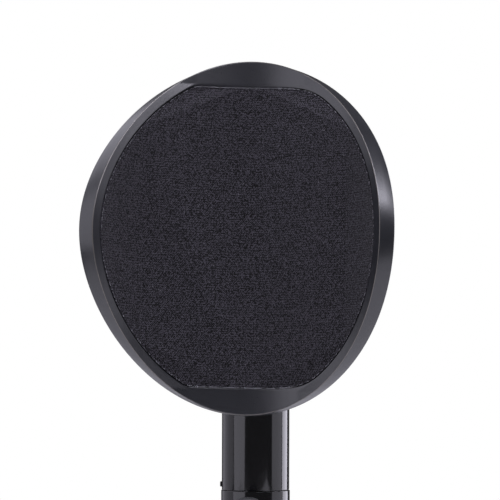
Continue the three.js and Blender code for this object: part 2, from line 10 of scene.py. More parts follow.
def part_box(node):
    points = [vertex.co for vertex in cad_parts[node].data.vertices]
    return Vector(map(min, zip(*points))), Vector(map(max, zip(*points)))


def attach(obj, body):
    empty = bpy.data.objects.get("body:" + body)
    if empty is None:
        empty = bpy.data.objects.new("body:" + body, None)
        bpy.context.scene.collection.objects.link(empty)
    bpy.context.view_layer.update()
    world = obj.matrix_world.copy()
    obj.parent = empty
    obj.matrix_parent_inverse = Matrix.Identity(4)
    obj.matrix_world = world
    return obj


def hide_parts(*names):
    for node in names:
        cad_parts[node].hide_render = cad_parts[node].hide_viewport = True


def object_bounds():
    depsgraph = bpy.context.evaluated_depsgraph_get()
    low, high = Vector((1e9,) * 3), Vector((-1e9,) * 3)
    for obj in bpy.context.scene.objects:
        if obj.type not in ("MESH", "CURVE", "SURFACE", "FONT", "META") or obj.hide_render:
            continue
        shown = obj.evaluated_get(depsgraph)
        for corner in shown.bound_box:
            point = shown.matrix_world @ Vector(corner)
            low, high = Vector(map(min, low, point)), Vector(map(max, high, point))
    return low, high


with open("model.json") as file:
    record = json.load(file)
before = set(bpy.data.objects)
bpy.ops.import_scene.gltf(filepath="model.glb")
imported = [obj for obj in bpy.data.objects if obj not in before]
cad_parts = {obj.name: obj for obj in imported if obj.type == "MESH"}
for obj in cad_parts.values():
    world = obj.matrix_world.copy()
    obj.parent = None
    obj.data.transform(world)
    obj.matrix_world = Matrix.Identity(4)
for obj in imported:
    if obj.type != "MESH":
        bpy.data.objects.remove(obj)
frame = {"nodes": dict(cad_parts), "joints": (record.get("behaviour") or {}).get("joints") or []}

cad_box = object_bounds()


# ------------------------------------------------------------------ studio
# A level camera two metres in front of the shield and a little to its right, a pale floor, white
# surroundings and soft boxes: broad ones on the left, a tall bright one behind on the right, and others in
# front of it and above it on the right.
MM = 0.001
CAMERA_TURN = math.radians(7.19)
CAMERA_ROLL = math.radians(0.16)
CAMERA_DISTANCE = 2.0
LENS = 277.5
AIM_ACROSS = -3.19 * MM
AIM_HEIGHT = 236.65 * MM
LAMP_TINT = (0.9, 0.88, 1)
SURROUNDINGS_SEEN = 1
SURROUNDINGS_TINT = (0.96, 0.94, 1, 1)
SURROUNDINGS_LIGHT = 0.1
scene = bpy.context.scene
scene.view_settings.view_transform = "Standard"

across = Vector((math.cos(CAMERA_TURN), math.sin(CAMERA_TURN), 0))
to_camera = Vector((math.sin(CAMERA_TURN), -math.cos(CAMERA_TURN), 0))
aim = across * AIM_ACROSS + Vector((0, 0, AIM_HEIGHT))
camera = bpy.data.objects.new("camera", bpy.data.cameras.new("camera"))
camera.data.lens = LENS
camera.data.clip_start = 0.05
camera.data.clip_end = 50
scene.collection.objects.link(camera)
camera.matrix_world = (
    Matrix.Translation(aim + to_camera * CAMERA_DISTANCE)
    @ Matrix((across, Vector((0, 0, 1)), to_camera)).transposed().to_4x4()
    @ Matrix.Rotation(CAMERA_ROLL, 4, "Z")
)
scene.camera = camera


def soft_box(name, place, width, height, power):
    """A flat lamp of that width and height in metres, turned towards the shield."""
    lamp = bpy.data.objects.new(name, bpy.data.lights.new(name, "AREA"))
    lamp.data.shape = "RECTANGLE"
    lamp.data.size = width
    lamp.data.size_y = height
    lamp.data.energy = power
    lamp.data.color = LAMP_TINT
    lamp.location = place
    lamp.rotation_euler = (aim - Vector(place)).to_track_quat("-Z", "Y").to_euler()
    scene.collection.objects.link(lamp)


soft_box("left_box", (-1.17, -0.94, 0.7), 1.34, 2.2, 13.5)
soft_box("left_back_box", (-1.1, 0.75, 1.5), 1.4, 1.0, 7.5)
soft_box("left_side_box", (-1.43, 0.44, 0.4), 1.95, 1.3, 4.5)
soft_box("right_top_box", (0.5, -0.76, 1.92), 0.8, 1.2, 36)
soft_box("right_high_box", (1.35, -0.7, 1.36), 0.7, 0.8, 4.5)
soft_box("right_box", (1.6, -0.1, 0.4), 1.3, 1.4, 6)
soft_box("right_back_box", (1.18, 0.9, 0.4), 0.9, 1.8, 20)

world = bpy.data.worlds.new("white_surroundings")
scene.world = world
world.use_nodes = True
air = world.node_tree
air.nodes.clear()
seen = air.nodes.new("ShaderNodeBackground")
seen.inputs["Color"].default_value = (1, 1, 1, 1)
seen.inputs["Strength"].default_value = SURROUNDINGS_SEEN
lighting = air.nodes.new("ShaderNodeBackground")
lighting.inputs["Color"].default_value = SURROUNDINGS_TINT
lighting.inputs["Strength"].default_value = SURROUNDINGS_LIGHT
ray = air.nodes.new("ShaderNodeLightPath")
either = air.nodes.new("ShaderNodeMixShader")
sky = air.nodes.new("ShaderNodeOutputWorld")
air.links.new(ray.outputs["Is Camera Ray"], either.inputs[0])
air.links.new(lighting.outputs[0], either.inputs[1])
air.links.new(seen.outputs[0], either.inputs[2])
air.links.new(either.outputs[0], sky.inputs[0])


class Tone:
    """A value inside a finish, that can stand in an expression."""

    def __init__(self, finish, socket):
        self.finish = finish
        self.socket = socket

    def maths(self, operation, first, second):
        return self.finish.node("Math", {"operation": operation}, {0: first, 1: second})

    def __add__(self, other):
        return self.maths("ADD", self, other)

    def __radd__(self, other):
        return self.maths("ADD", other, self)

    def __sub__(self, other):
        return self.maths("SUBTRACT", self, other)

    def __rsub__(self, other):
        return self.maths("SUBTRACT", other, self)

    def __mul__(self, other):
        return self.maths("MULTIPLY", self, other)

    def __rmul__(self, other):
        return self.maths("MULTIPLY", other, self)


class Finish:
    """A material that is made node by node."""

    def __init__(self, name):
        self.material = bpy.data.materials.new(name)
        self.material.use_nodes = True
        self.tree = self.material.node_tree
        self.tree.nodes.clear()

    def node(self, kind, settings=None, sockets=None, output=0):
        made = self.tree.nodes.new("ShaderNode" + kind)
        for name, value in (settings or {}).items():
            setattr(made, name, value)
        for name, value in (sockets or {}).items():
            if isinstance(value, Tone):
                self.tree.links.new(value.socket, made.inputs[name])
            else:
                made.inputs[name].default_value = value
        return Tone(self, made.outputs[output]) if made.outputs else None

    def place(self, stretch=(1, 1, 1), turn=(0, 0, 0)):
        point = self.node("TexCoord", output="Object")
        return self.node("Mapping", None, {"Vector": point, "Rotation": turn, "Scale": stretch})

    def noise(self, size, detail=2, stretch=(1, 1, 1), turn=(0, 0, 0)):
        """Noise whose lumps are about that many millimetres across."""
        return self.node("TexNoise", None, {
            "Vector": self.place(stretch, turn), "Scale": 1 / (size * MM), "Detail": detail}, "Fac")

    def step(self, value, low, high):
        """0 below low and 1 above high, smooth between them."""
        return self.node("MapRange", {"interpolation_type": "SMOOTHSTEP"},
                         {"Value": value, "From Min": low, "From Max": high})

    def mix(self, share, first, second):
        return self.node("Mix", {"data_type": "RGBA"}, {0: share, 6: first, 7: second}, 2)

    def bump(self, height, depth):
        """Raises the surface by up to depth millimetres."""
        return self.node("Bump", None, {"Height": height, "Distance": depth * MM})

    def coat(self, colour, roughness, normal, **more):
        sockets = {"Base Color": colour, "Roughness": roughness, "Normal": normal}
        sockets.update({name.replace("_", " "): value for name, value in more.items()})
        surface = self.node("BsdfPrincipled", None, sockets)
        self.node("OutputMaterial", None, {"Surface": surface})
        return self.material


def paint(red, green, blue):
    return (red, green, blue, 1)


SHARP_ANGLE = math.radians(32)


def laid(name, form, finish):
    """Makes a mesh object of a form: smooth, but for the edges where it turns sharply."""
    mesh = bpy.data.meshes.new(name)
    form.to_mesh(mesh)
    form.free()
    mesh.shade_smooth()
    mesh.set_sharp_from_angle(angle=SHARP_ANGLE)
    mesh.materials.append(finish)
    made = bpy.data.objects.new(name, mesh)
    scene.collection.objects.link(made)
    return made


FLOOR_HALF = 0.4
FLOOR_GAP = 0.2
board = Finish("pale_floor")
shade = board.noise(35, 3)
pale_floor = board.coat(
    board.mix(shade, paint(0.86, 0.86, 0.86), paint(0.9, 0.9, 0.9)), 0.55,
    board.bump(board.noise(2), 0.02))
form = bmesh.new()
bmesh.ops.create_grid(form, x_segments=1, y_segments=1, size=FLOOR_HALF)
bmesh.ops.translate(form, vec=(0, 0, cad_box[0].z - FLOOR_GAP * MM), verts=form.verts)
laid("floor", form, pale_floor)


# ------------------------------------------------------------------ barrel base
# The plug that closes the barrel's lower end, moulded in glass-filled nylon and pressed in. It has two
# grooves round its flange for a firm grip, and a socket underneath for the brass thread.
BASE_FLANGE = 6
BASE_TOP = 28
BARREL_RADIUS = 17.8
BARREL_BORE = 15.6
SOCKET_HOLE = 10.84
SOCKET_DEPTH = 20.6
GRIP_GROOVES = (1.8, 3.6)
GRIP_DEPTH = 0.5
ROOM = 0.3
WELD = 1e-6

grip = Finish("grip_plastic")
fibres = grip.noise(0.5, 3, stretch=(1, 1, 0.35))
wear = grip.step(grip.noise(9, 4), 0.55, 0.75)
grip_plastic = grip.coat(
    grip.mix(wear, paint(0.011, 0.011, 0.012), paint(0.019, 0.019, 0.021)),
    0.5 + 0.14 * fibres - 0.06 * wear,
    grip.bump(grip.noise(0.28, 2) * 0.7 + fibres * 0.3, 0.05))


def wire(points, closed=False):
    """A wire in the XZ plane through [radius, height, softness] points in millimetres. A point with a
    softness gets a rounded corner."""
    form = bmesh.new()
    knots = [form.verts.new((radius * MM, 0, height * MM)) for radius, height, *_ in points]
    for first, second in zip(knots, knots[1:] + knots[:1] if closed else knots[1:]):
        form.edges.new((first, second))
    for knot, (_, _, *softness) in zip(knots, points):
        if softness:
            bmesh.ops.bevel(form, geom=[knot], offset=softness[0] * MM, offset_type="OFFSET", segments=4,
                            profile=0.5, affect="VERTICES", material=-1)
    return form


def spun(form, steps=96):
    """The wire turned all the way round the Z axis."""
    bmesh.ops.spin(form, geom=form.verts[:] + form.edges[:], cent=(0, 0, 0), axis=(0, 0, 1),
                   angle=2 * math.pi, steps=steps, use_merge=True)
    bmesh.ops.remove_doubles(form, verts=form.verts, dist=WELD)
    bmesh.ops.recalc_face_normals(form, faces=form.faces)
    return form


def moved(form, matrix):
    bmesh.ops.transform(form, matrix=matrix, verts=form.verts)
    return form


def fitted(name, form, finish, body, slot, *nodes):
    """Puts a piece on its body, with its finish, in the place of its CAD nodes."""
    made = laid("fine_" + name, form, finish)
    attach(made, body)
    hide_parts(*nodes)
    return made


grooves = [point for height in GRIP_GROOVES for point in (
    [BARREL_RADIUS, height, 0.15], [BARREL_RADIUS - GRIP_DEPTH, height + 0.2, 0.1],
    [BARREL_RADIUS - GRIP_DEPTH, height + 0.8, 0.1], [BARREL_RADIUS, height + 1, 0.15])]
base = spun(wire([
    [0, SOCKET_DEPTH], [SOCKET_HOLE, SOCKET_DEPTH, 0.2], [SOCKET_HOLE, 0, 0.4], [BARREL_RADIUS, 0, 0.9],
    *grooves, [BARREL_RADIUS, BASE_FLANGE, 0.2], [BARREL_BORE - ROOM, BASE_FLANGE],
    [BARREL_BORE - ROOM, BASE_TOP, 0.5], [0, BASE_TOP],
]))
fitted("barrel_base", base, grip_plastic, "stand_head", "grip_plastic", "barrel_base")


# ------------------------------------------------------------------ thread insert
# The brass sleeve that screws onto the stand, with a 5/8 inch thread of 27 turns to the inch inside it.
# It is turned from bar, knurled outside and moulded into the base.
THREAD_RADIUS = 7.94
THREAD_DEPTH = 0.45
THREAD_PITCH = 25.4 / 27
INSERT_RADIUS = 10.54
INSERT_BOTTOM = 0.3
INSERT_TOP = 20.3
LEAD_IN = 0.8
THREAD_SPARE = 1.5

turned_brass = Finish("brass")
tarnish = turned_brass.noise(6, 4)
marks = turned_brass.noise(0.4, 2, stretch=(0.05, 0.05, 1))
brass = turned_brass.coat(
    turned_brass.mix(tarnish, paint(0.52, 0.36, 0.15), paint(0.72, 0.53, 0.25)),
    0.22 + 0.2 * tarnish, turned_brass.bump(marks, 0.01), Metallic=1.0)

turns = int((INSERT_TOP - INSERT_BOTTOM - THREAD_SPARE) / THREAD_PITCH)
crests = [point for turn in range(turns) for point in (
    [THREAD_RADIUS, INSERT_TOP - LEAD_IN - turn * THREAD_PITCH],
    [THREAD_RADIUS + THREAD_DEPTH, INSERT_TOP - LEAD_IN - (turn + 0.5) * THREAD_PITCH])]
insert = spun(wire([
    [THREAD_RADIUS + THREAD_DEPTH, INSERT_TOP], *crests, [THREAD_RADIUS + THREAD_DEPTH, INSERT_BOTTOM],
    [INSERT_RADIUS, INSERT_BOTTOM, 0.3], [INSERT_RADIUS, INSERT_TOP, 0.3],
], closed=True), 64)
fitted("thread_insert", insert, brass, "stand_head", "brass", "thread_insert")


# ------------------------------------------------------------------ stand barrel
# The fixed steel tube that the post slides in, sprayed gloss black, with a turned boss welded to its front
# for the clamp. A nylon bush lines its mouth.
barrel_low, barrel_high = (corner.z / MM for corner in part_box("stand_barrel"))
BOSS_RADIUS = 10
BOSS_FRONT = 26
BOSS_WELD = 0.8
clamp_height = (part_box("clamp_knob")[0].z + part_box("clamp_knob")[1].z) / 2
STUD_HOLE = 4.3
GUIDE_ROOM = 13.3
TO_FRONT = Matrix.Rotation(math.pi / 2, 4, "X")
TO_BACK = Matrix.Rotation(-math.pi / 2, 4, "X")
TO_RIGHT = Matrix.Rotation(math.pi / 2, 4, "Y")

spray = Finish("gloss_paint")
peel = spray.noise(2.4, 2)
haze = spray.step(spray.noise(18, 4), 0.45, 0.8)
dust = spray.step(spray.noise(0.9, 1), 0.74, 0.8)
gloss_paint = spray.coat(
    spray.mix(haze, paint(0.0045, 0.0045, 0.005), paint(0.008, 0.008, 0.009)),
    0.1 + 0.07 * haze + 0.2 * dust, spray.bump(peel, 0.008), Coat_Weight=0.25, Coat_Roughness=0.05)

moulded_nylon = Finish("nylon")
cloudy = moulded_nylon.noise(5, 3)
nylon = moulded_nylon.coat(
    moulded_nylon.mix(cloudy, paint(0.5, 0.48, 0.42), paint(0.6, 0.58, 0.52)),
    0.42 + 0.12 * cloudy, moulded_nylon.bump(moulded_nylon.noise(0.4), 0.02))

barrel = spun(wire([
    [BARREL_BORE, barrel_low], [BARREL_RADIUS, barrel_low, 0.25], [BARREL_RADIUS, barrel_high, 0.2],
    [BARREL_BORE, barrel_high, 0.2],
], closed=True))
to_clamp = Matrix.Translation((0, 0, clamp_height)) @ TO_FRONT
boss = moved(spun(wire([
    [0, GUIDE_ROOM], [BOSS_RADIUS + BOSS_WELD, GUIDE_ROOM],
    [BOSS_RADIUS + BOSS_WELD, BARREL_RADIUS + ROOM, 0.2],
    [BOSS_RADIUS, BARREL_RADIUS + 1, 0.4], [BOSS_RADIUS, BOSS_FRONT, 0.5], [0, BOSS_FRONT],
]), 64), to_clamp)
bore = spun(wire([
    [0, BASE_FLANGE], [BARREL_BORE, BASE_FLANGE], [BARREL_BORE, barrel_high], [0, barrel_high]]))
stud_hole = moved(spun(wire([
    [0, 0], [STUD_HOLE, 0], [STUD_HOLE, BOSS_FRONT + 1], [0, BOSS_FRONT + 1]]), 48), to_clamp)


def carved(form, tool, operation):
    """The form joined with a tool, or cut by it."""
    pair = []
    for part in (form, tool):
        mesh = bpy.data.meshes.new("part")
        part.to_mesh(mesh)
        part.free()
        pair.append(bpy.data.objects.new("part", mesh))
        scene.collection.objects.link(pair[-1])
    work, cutter = pair
    joint = work.modifiers.new("joint", "BOOLEAN")
    joint.operation = operation
    joint.object = cutter
    shaped = bmesh.new()
    shaped.from_object(work, bpy.context.evaluated_depsgraph_get())
    for part in pair:
        mesh = part.data
        bpy.data.objects.remove(part)
        bpy.data.meshes.remove(mesh)
    bmesh.ops.remove_doubles(shaped, verts=shaped.verts, dist=WELD)
    bmesh.ops.recalc_face_normals(shaped, faces=shaped.faces)
    return shaped


barrel = carved(carved(carved(barrel, boss, "UNION"), bore, "DIFFERENCE"), stud_hole, "DIFFERENCE")
fitted("stand_barrel", barrel, gloss_paint, "stand_head", "gloss_paint", "stand_barrel")


def kept(finish, *nodes):
    """CAD nodes that show as they are, with a better finish."""
    for node in nodes:
        for holder in frame["nodes"][node].material_slots:
            holder.material = finish


kept(nylon, "top_bush", "pressure_shoe", "guide_ring", "guide_bush", "lock_pad")


# ------------------------------------------------------------------ clamp knob, its stud and its cap
# A large scalloped knob of glass-filled nylon on a steel stud. It presses a nylon shoe on the guide tube. A
# satin cap closes the stud's hole.
KNOB_BACK = 26.3
KNOB_RADIUS = 26
KNOB_LENGTH = 14
CAP_RADIUS = 10
CAP_THICKNESS = 1.6
SCALLOPS = 8
SCALLOP_DEPTH = 2.3
SCALLOP_REACH = 6
KNOB_BORE = 4.3
KNOB_BORE_END = 10.3
KNOB_HUB = 12

zinc = Finish("steel")
grey = zinc.noise(4, 4)
lines = zinc.noise(0.5, 2, stretch=(1, 1, 0.04))
steel = zinc.coat(
    zinc.mix(grey, paint(0.42, 0.42, 0.43), paint(0.58, 0.58, 0.6)),
    0.24 + 0.16 * grey + 0.08 * lines, zinc.bump(lines, 0.006), Metallic=1.0)
kept(steel, "clamp_stud", "perforated_plate")

moulding = Finish("satin_plastic")
grain = moulding.noise(0.32, 2)
cloud = moulding.noise(14, 4)
glint = moulding.step(moulding.noise(0.42, 1), 0.6, 0.72)
# The wear attribute marks the frame's outer edge. There the colour turns a lighter warm grey: painted
# highlight where the crease catches light, and partly rubbed wear.
edge_highlight_and_wear = moulding.node("Attribute", {"attribute_name": "wear"}, output="Fac")
edge_highlight_and_wear_share = moulding.step(edge_highlight_and_wear * (0.55 + moulding.noise(1.6, 4)), 0.45, 0.95)
satin_plastic = moulding.coat(
    moulding.mix(edge_highlight_and_wear_share, moulding.mix(cloud * 0.7 + glint * 0.3, paint(0.0085, 0.009, 0.0115),
                                      paint(0.016, 0.017, 0.021)), paint(0.11, 0.1, 0.088)),
    0.27 + 0.06 * cloud + 0.05 * grain - 0.05 * glint,
    moulding.bump(grain, 0.015), Specular_IOR_Level=0.8)


def scalloped(form, radius, count, depth, reach, sharpness=2.2):
    """Presses hollows into a turned knob's rim. One land stays at the top, towards the wire's own Y."""
    for vertex in form.verts:
        distance = vertex.co.xy.length
        if distance > (radius - reach) * MM:
            turn = math.atan2(vertex.co.x, vertex.co.y)
            hollow = (0.5 - 0.5 * math.cos(count * turn)) ** sharpness
            share = min(1, (distance / MM - radius + reach) / reach)
            vertex.co.xy *= 1 - hollow * depth * MM * share / distance
    return form


knob = scalloped(spun(wire([
    [KNOB_BORE, 0], [KNOB_HUB, 0, 0.5], [KNOB_HUB, 3, 0.8], [KNOB_HUB + 4, 3.4, 0.8],
    [KNOB_RADIUS - 5, 4], [KNOB_RADIUS - 3, 4.1], [KNOB_RADIUS, 4.6, 1.7], [KNOB_RADIUS, 7],
    [KNOB_RADIUS, 9], [KNOB_RADIUS, 11], [KNOB_RADIUS, KNOB_LENGTH, 2.0],
    [KNOB_RADIUS - 4, KNOB_LENGTH - 0.1], [KNOB_RADIUS - 6.5, KNOB_LENGTH - 0.5, 0.8],
    [KNOB_RADIUS - 9, KNOB_LENGTH - 1.6, 0.8], [CAP_RADIUS + 2.4, KNOB_LENGTH - 1.6, 0.6],
    [CAP_RADIUS + 1.6, KNOB_LENGTH, 0.4], [CAP_RADIUS + ROOM, KNOB_LENGTH, 0.25],
    [CAP_RADIUS + ROOM, KNOB_LENGTH - CAP_THICKNESS - ROOM], [0, KNOB_LENGTH - CAP_THICKNESS - ROOM],
    [0, KNOB_BORE_END], [KNOB_BORE, KNOB_BORE_END],
], closed=True), 192), KNOB_RADIUS, SCALLOPS, SCALLOP_DEPTH, SCALLOP_REACH)
at_clamp = Matrix.Translation((0, -KNOB_BACK * MM, clamp_height)) @ TO_FRONT
fitted("clamp_knob", moved(knob, at_clamp), grip_plastic, "clamp_screw", "grip_plastic", "clamp_knob")

cap = spun(wire([
    [0, KNOB_LENGTH - CAP_THICKNESS], [CAP_RADIUS, KNOB_LENGTH - CAP_THICKNESS],
    [CAP_RADIUS, KNOB_LENGTH - 0.25, 0.35], [CAP_RADIUS - 1.2, KNOB_LENGTH, 0.3],
    [CAP_RADIUS - 2, KNOB_LENGTH - 0.35, 0.2], [0, KNOB_LENGTH - 0.2],
]))
fitted("knob_cap", moved(cap, at_clamp), satin_plastic, "clamp_screw", "satin_plastic", "knob_cap")


# ------------------------------------------------------------------ post
# The 35 mm steel tube in gloss black that slides up out of the barrel. Inside it is a narrow bright tube on
# nylon rings, that runs down in the barrel, and a slotted screw in its left side holds that tube.
POST_RADIUS = 17.5
POST_BORE = 16
GUIDE_RADIUS = 13
GUIDE_BORE = 11.5
post_low, post_high = (corner.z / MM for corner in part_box("post_tube"))
guide_low, guide_high = (corner.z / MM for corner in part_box("guide_tube"))
FLAT_ANGLE = math.radians(0.6)
HARD_ANGLE = math.radians(38)

tube = spun(wire([
    [POST_BORE, post_low], [POST_RADIUS, post_low, 0.35], [POST_RADIUS, post_high, 0.3],
    [POST_BORE, post_high],
], closed=True), 128)
fitted("post_tube", tube, gloss_paint, "post", "gloss_paint", "post_tube")

guide = spun(wire([
    [GUIDE_BORE, guide_low], [GUIDE_RADIUS, guide_low, 0.3], [GUIDE_RADIUS, guide_high, 0.3],
    [GUIDE_BORE, guide_high],
], closed=True))
fitted("guide_tube", guide, steel, "post", "steel", "guide_tube")

oxide = Finish("black_steel")
patchy = oxide.noise(3, 4)
black_steel = oxide.coat(
    oxide.mix(patchy, paint(0.012, 0.012, 0.013), paint(0.028, 0.027, 0.027)),
    0.34 + 0.18 * patchy, oxide.bump(oxide.noise(0.22), 0.018), Metallic=0.6)


def from_cad(node, edge):
    """A copy of a CAD node, merged, with its hard edges softened by that many millimetres."""
    form = bmesh.new()
    form.from_mesh(frame["nodes"][node].data)
    bmesh.ops.remove_doubles(form, verts=form.verts, dist=WELD)
    bmesh.ops.dissolve_limit(form, angle_limit=FLAT_ANGLE, verts=form.verts, edges=form.edges)
    hard = [line for line in form.edges if line.is_manifold and line.calc_face_angle(0) > HARD_ANGLE]
    bmesh.ops.bevel(form, geom=hard, offset=edge * MM, offset_type="OFFSET", segments=2, profile=0.5,
                    affect="EDGES", clamp_overlap=True, material=-1)
    return form


fitted("guide_screw", from_cad("guide_screw", 0.08), black_steel, "post", "black_steel", "guide_screw")


# ------------------------------------------------------------------ post plug
# The moulded plug that closes the post. Its flange shows as a ring above the tube, and the grooved spigot
# above that carries the swivel head.
PLUG_BOTTOM = 183
FLANGE_TOP = 200.3
SPIGOT_RADIUS = 9
SPIGOT_TOP = 213.3
GROOVE_RADIUS = 7.5
GROOVE_HEIGHT = 208.45
GROOVE_HALF = 3.5

plug = spun(wire([
    [0, PLUG_BOTTOM], [POST_BORE - ROOM, PLUG_BOTTOM, 0.4], [POST_BORE - ROOM, post_high + ROOM],
    [POST_RADIUS, post_high + ROOM, 0.3], [POST_RADIUS, FLANGE_TOP, 0.6], [SPIGOT_RADIUS, FLANGE_TOP, 0.3],
    [SPIGOT_RADIUS, GROOVE_HEIGHT - GROOVE_HALF, 0.2], [GROOVE_RADIUS, GROOVE_HEIGHT - GROOVE_HALF, 0.2],
    [GROOVE_RADIUS, GROOVE_HEIGHT + GROOVE_HALF, 0.2], [SPIGOT_RADIUS, GROOVE_HEIGHT + GROOVE_HALF, 0.2],
    [SPIGOT_RADIUS, SPIGOT_TOP, 0.4], [0, SPIGOT_TOP],
]))
fitted("post_plug", plug, satin_plastic, "post", "satin_plastic", "post_plug")


# ------------------------------------------------------------------ swivel head
# A moulded drum that turns on the spigot, over a nylon washer, with an upright tongue for the pivot. A small
# ribbed thumbscrew behind it locks the turn.
WASHER_BOTTOM = 200.6
WASHER_TOP = 201.6
LOCK_INNER = 10.1
LOCK_KNOB_START = 17.8
LOCK_KNOB_RADIUS = 7
LOCK_RIBS = 20
LOCK_RIB_DEPTH = 0.6
LOCK_RIB_REACH = 1.2
LOCK_STEM = 2.5
LOCK_KNOB_LENGTH = 10
WASHER_EDGE = 0.2

fitted("swivel_head", from_cad("swivel_head", 0.7), satin_plastic, "swivel_head", "satin_plastic",
       "swivel_head")


def washer(inner, outer, bottom, top):
    """A flat ring with rounded edges."""
    return spun(wire([[inner, bottom, WASHER_EDGE], [outer, bottom, WASHER_EDGE], [outer, top, WASHER_EDGE],
                      [inner, top, WASHER_EDGE]], closed=True), 72)


fitted("swivel_washer", washer(SPIGOT_RADIUS + ROOM, POST_RADIUS - 1, WASHER_BOTTOM, WASHER_TOP), nylon,
       "swivel_head", "nylon", "swivel_washer")

lock_end = LOCK_KNOB_START + LOCK_KNOB_LENGTH
thumb = scalloped(spun(wire([
    [0, LOCK_INNER], [LOCK_STEM, LOCK_INNER, 0.4], [LOCK_STEM, LOCK_KNOB_START],
    [LOCK_KNOB_RADIUS - 1.6, LOCK_KNOB_START, 0.3],
    [LOCK_KNOB_RADIUS, LOCK_KNOB_START + 1.4, 0.5], [LOCK_KNOB_RADIUS, LOCK_KNOB_START + 5],
    [LOCK_KNOB_RADIUS, LOCK_KNOB_START + 8.6], [LOCK_KNOB_RADIUS - 1.2, lock_end, 0.6],
    [LOCK_KNOB_RADIUS - 3, lock_end, 0.3], [LOCK_KNOB_RADIUS - 3.4, lock_end - 0.5, 0.2],
    [0, lock_end - 0.5],
]), 160), LOCK_KNOB_RADIUS, LOCK_RIBS, LOCK_RIB_DEPTH, LOCK_RIB_REACH, sharpness=1)
fitted("lock_screw", moved(thumb, Matrix.Translation((0, 0, GROOVE_HEIGHT * MM)) @ TO_BACK), grip_plastic,
       "lock_screw", "grip_plastic", "lock_screw")


# ------------------------------------------------------------------ front frame
# One satin black moulding: an oval, bent round an upright axis. Its narrow face slopes up from its outer
# edge to the pad, and above and below the pad it folds back along the pad's straight edges into
# lens-shaped faces. Along the outer edge a lighter warm line is painted: painted highlight where the
# crease catches light, and partly rubbed wear.
CURVE_RADIUS = 76
CURVE_AXIS = -108.8
LEAN = math.radians(5)
HALF_WIDTH = 72
HALF_HEIGHT = 90.7
FLAT_HALF_WIDTH = CURVE_RADIUS * math.asin(HALF_WIDTH / CURVE_RADIUS)
RIM_WIDTH = 5.6
RIM_RISE = 1.4
RIM_SLOPE = 4.8
PAD_CHORD = 77.3
PAD_SLANT = 0.017
LEFT_CORNER = 1.6
RIGHT_CORNER = 7
FOLD = PAD_CHORD + 0.8
EDGE_DEPTH = 7.8
POCKET_DEPTH = 3.3
LAND_INSET = 9
SHELL_INSET = 3
SHELL_SEAT = 5.5
RING_RADIUS = 100
pivot = Vector(next(joint["pos_m"] for joint in frame["joints"] if joint["name"] == "shield_tilt"))
leaning = Matrix.Translation(pivot) @ Matrix.Rotation(-LEAN, 4, "X")


def soft_least(first, second, softness):
    """The smaller of two values, with a round turn from one to the other."""
    near = max(softness - abs(first - second), 0) / softness
    return min(first, second) - near * near * softness / 4


def oval(turn, inset, chord=None):
    """A point of the oval, inset from the shield's edge and laid flat: along the surface, and height. A
    chord cuts its top and bottom straight, with softer corners on the right."""
    half_width = CURVE_RADIUS * math.sin((FLAT_HALF_WIDTH - inset) / CURVE_RADIUS)
    along = CURVE_RADIUS * math.asin(half_width * math.sin(turn) / CURVE_RADIUS)
    height = (HALF_HEIGHT - inset) * math.cos(turn)
    if chord:
        corner = RIGHT_CORNER if along > 0 else LEFT_CORNER
        level = height + PAD_SLANT * along
        height += math.copysign(soft_least(abs(level), chord, corner), level) - level
    return along, height


def pressed(form, place):
    """Turns a spun ring into flat work. The ring's distance inside RING_RADIUS is the inset, and its height
    is the depth behind the front edge."""
    for vertex in form.verts:
        turn = math.atan2(vertex.co.x, vertex.co.y)
        along, height = place(turn, RING_RADIUS - vertex.co.xy.length / MM, vertex.co.z / MM)
        vertex.co = Vector((along * MM, vertex.co.z, height * MM))
    return form


def bent(form):
    """Bends flat work round the upright axis in front of it, and leans it back about the pivot."""
    for vertex in form.verts:
        turn = vertex.co.x / (CURVE_RADIUS * MM)
        reach = vertex.co.y + CURVE_RADIUS * MM
        vertex.co = Vector((reach * math.sin(turn), CURVE_AXIS * MM + reach * math.cos(turn), vertex.co.z))
    moved(form, leaning)
    bmesh.ops.recalc_face_normals(form, faces=form.faces)
    return form


def inside(along, height):
    """How far a flat point lies inside the oval edge."""
    wide = CURVE_RADIUS * math.sin(along / CURVE_RADIUS)
    share = math.hypot(wide / HALF_WIDTH, height / HALF_HEIGHT)
    steep = math.hypot(wide * math.cos(along / CURVE_RADIUS) / HALF_WIDTH ** 2, height / HALF_HEIGHT ** 2)
    return (1 - share) * share / steep


def face_depth(along, height):
    """Depth of the frame's front face: a slope up to the pad, folded back beyond its straight edges."""
    beyond = max(abs(height + PAD_SLANT * along) - FOLD, 0)
    slope = min(max(inside(along, abs(height) - beyond), 0) / RIM_SLOPE, 1)
    return -RIM_RISE * slope + RIM_RISE * beyond / (HALF_HEIGHT - FOLD)


def frame_place(turn, inset, depth):
    """Rings of the frame: plain ovals behind, and in front from the oval edge to the pad's outline."""
    if inset > RIM_WIDTH + 0.05 or depth > SHELL_SEAT - 0.1:
        return oval(turn, inset)
    if inset >= RIM_SLOPE:
        return oval(turn, inset, PAD_CHORD + RIM_WIDTH - inset)
    share = inset / RIM_SLOPE
    outer, inner = oval(turn, 0), oval(turn, RIM_SLOPE, FOLD)
    return [first + (second - first) * share for first, second in zip(outer, inner)]


